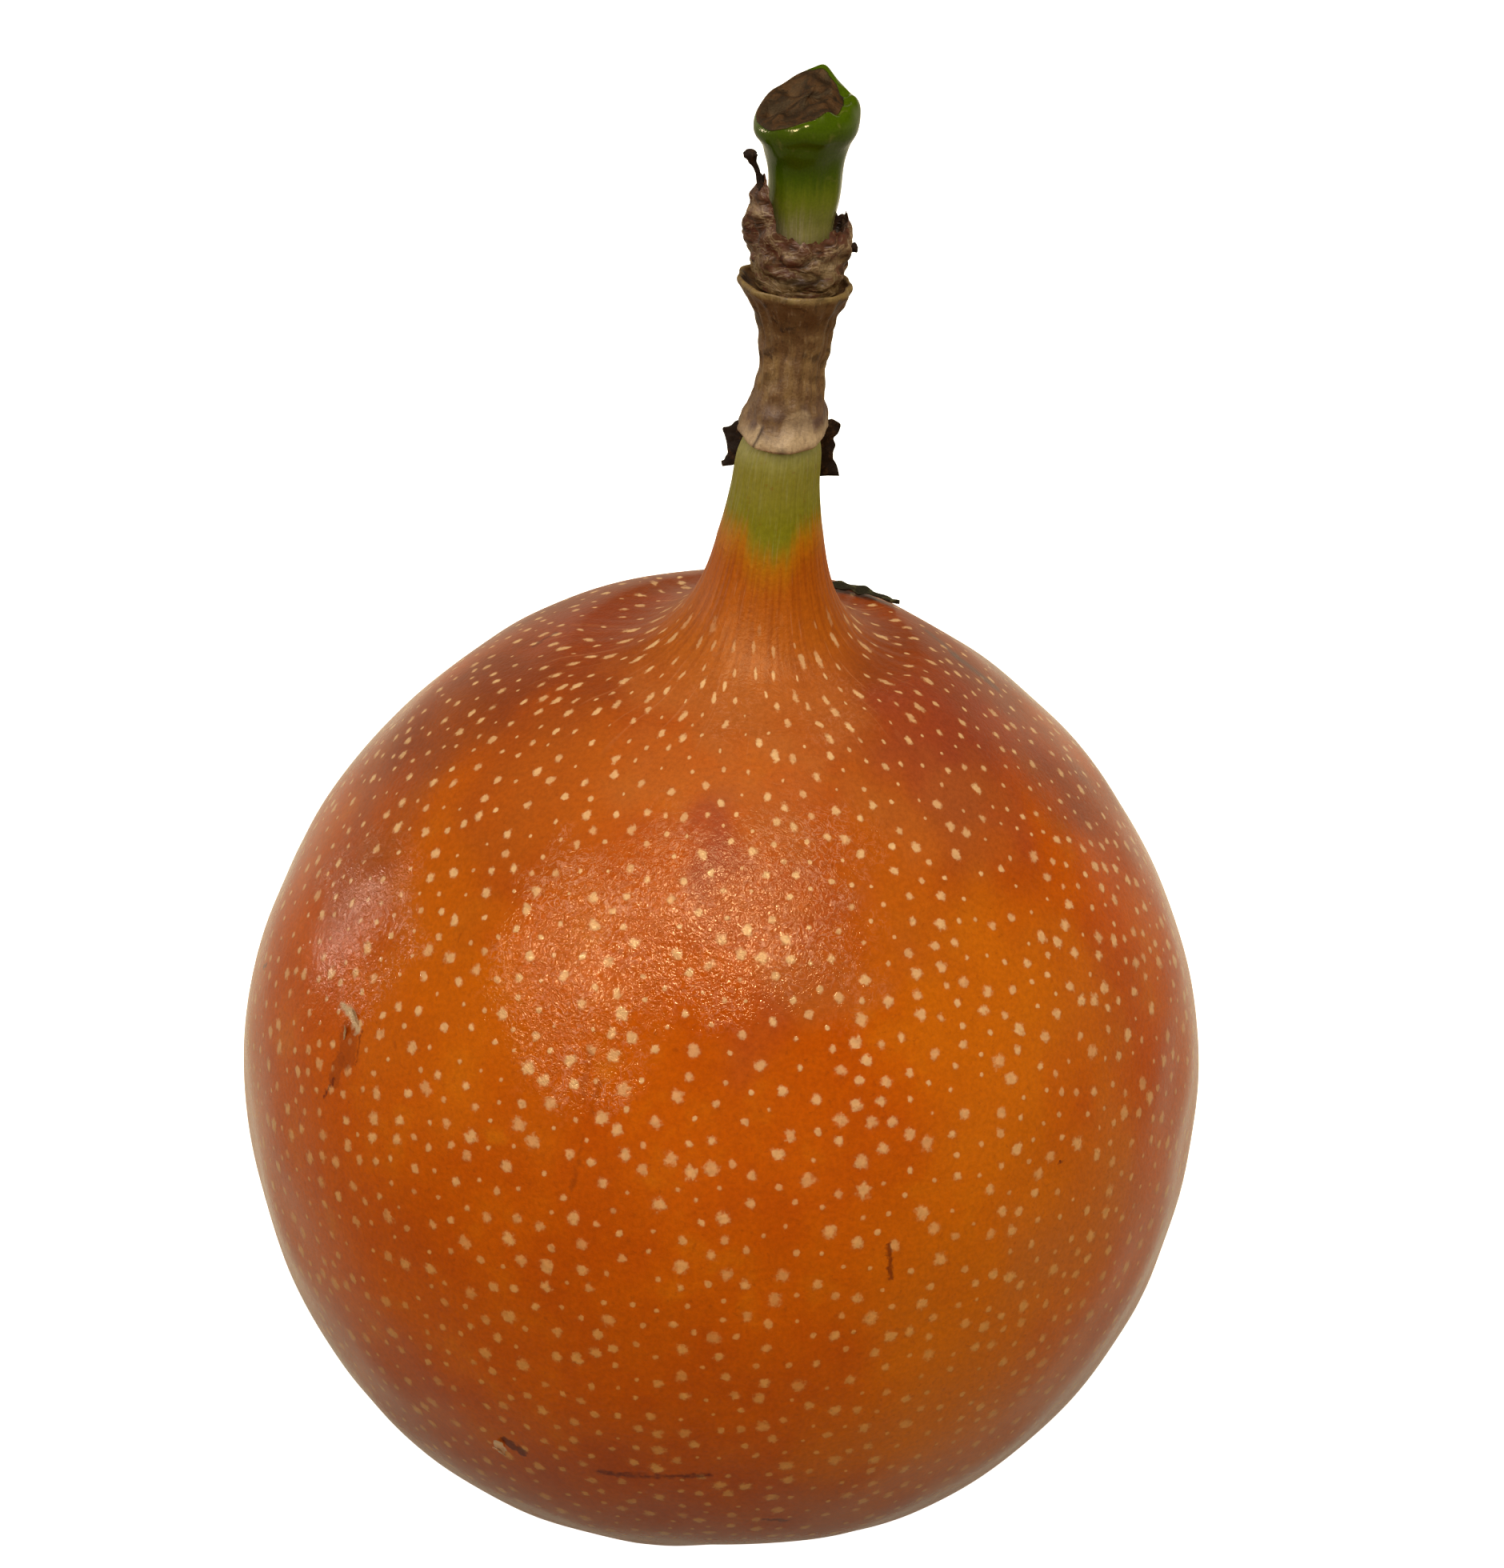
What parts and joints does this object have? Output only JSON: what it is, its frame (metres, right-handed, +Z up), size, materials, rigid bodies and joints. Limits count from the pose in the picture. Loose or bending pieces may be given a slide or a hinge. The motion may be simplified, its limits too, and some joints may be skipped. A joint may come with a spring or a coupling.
{
  "type": "passion fruit",
  "caption": "Ripe orange sweet granadilla passion fruit with its neck, dried flower base, torn sheath and cut green stem, standing on its flat spot.",
  "frame": {"origin": "centre of the small flat spot that the fruit rests on", "axes": "+Z up from the flat spot to the stem's cut end; +X to the side that the stalk stands off and leans to; -Y the side seen in front"},
  "size_m": [0.072, 0.072, 0.1104],
  "materials": {
    "rind": "smooth waxy orange rind with small pale specks",
    "green_stalk": "dull olive green, streaked along its length",
    "dry_bark": "dry wrinkled brown",
    "papery_sheath": "torn dry brown tissue",
    "green_stem": "smooth green stem with a dry brown cut face",
    "dried_flower": "dark shrivelled flower remains",
    "dry_scrap": "dark olive dry scrap"
  },
  "bodies": {
    "root": {"fruit": "rind", "neck_stalk": "green_stalk", "dry_stalk": "dry_bark", "bract_sheath": "papery_sheath", "stem": "green_stem", "flower_flap_left": "dried_flower", "flower_flap_right": "dried_flower", "shoulder_scrap": "dry_scrap"}
  },
  "joints": []
}
